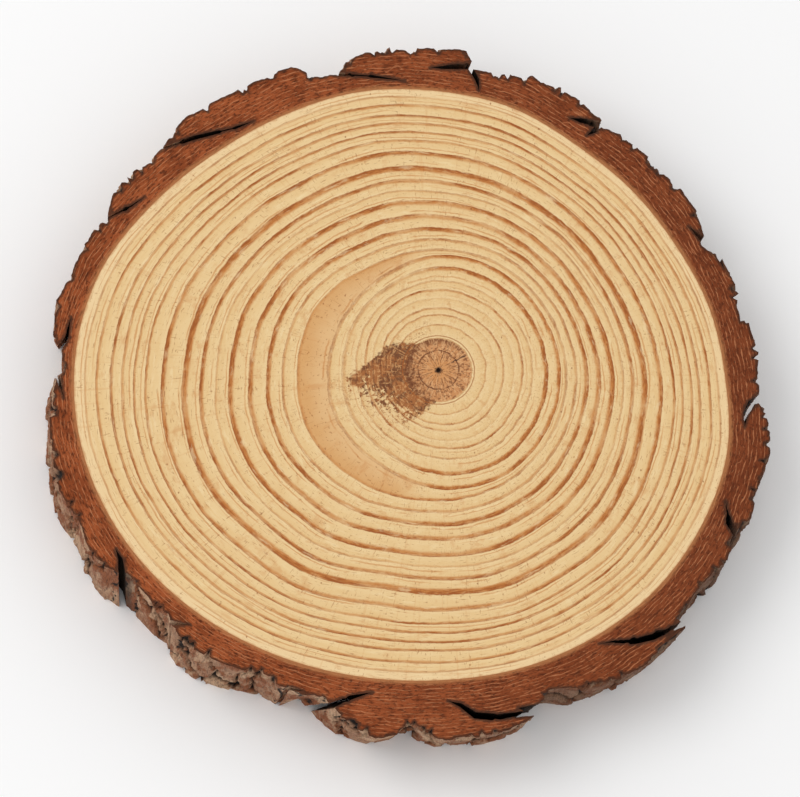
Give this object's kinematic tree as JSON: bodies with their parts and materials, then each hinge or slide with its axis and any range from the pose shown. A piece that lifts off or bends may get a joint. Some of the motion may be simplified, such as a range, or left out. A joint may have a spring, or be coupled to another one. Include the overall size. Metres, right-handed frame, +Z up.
{
  "type": "wood slice",
  "caption": "Sawn round of a pine trunk with its bark on, flat on both faces, for use as a board, stand, base or decoration.",
  "frame": {"origin": "middle of the underside, on the surface that the slice rests on", "axes": "+Z up, square to both sawn faces; +X and +Y lie in the underside, with the pith a little towards +X and +Y"},
  "size_m": [0.2486, 0.2506, 0.032],
  "materials": {
    "sawn_wood": "sanded bare softwood, cream-yellow with orange-brown growth rings and a brown core",
    "bark": "bare bark, red-brown where sawn and grey-brown, rough and flaky outside"
  },
  "bodies": {
    "root": {"wood_slice": "sawn_wood"}
  },
  "joints": []
}
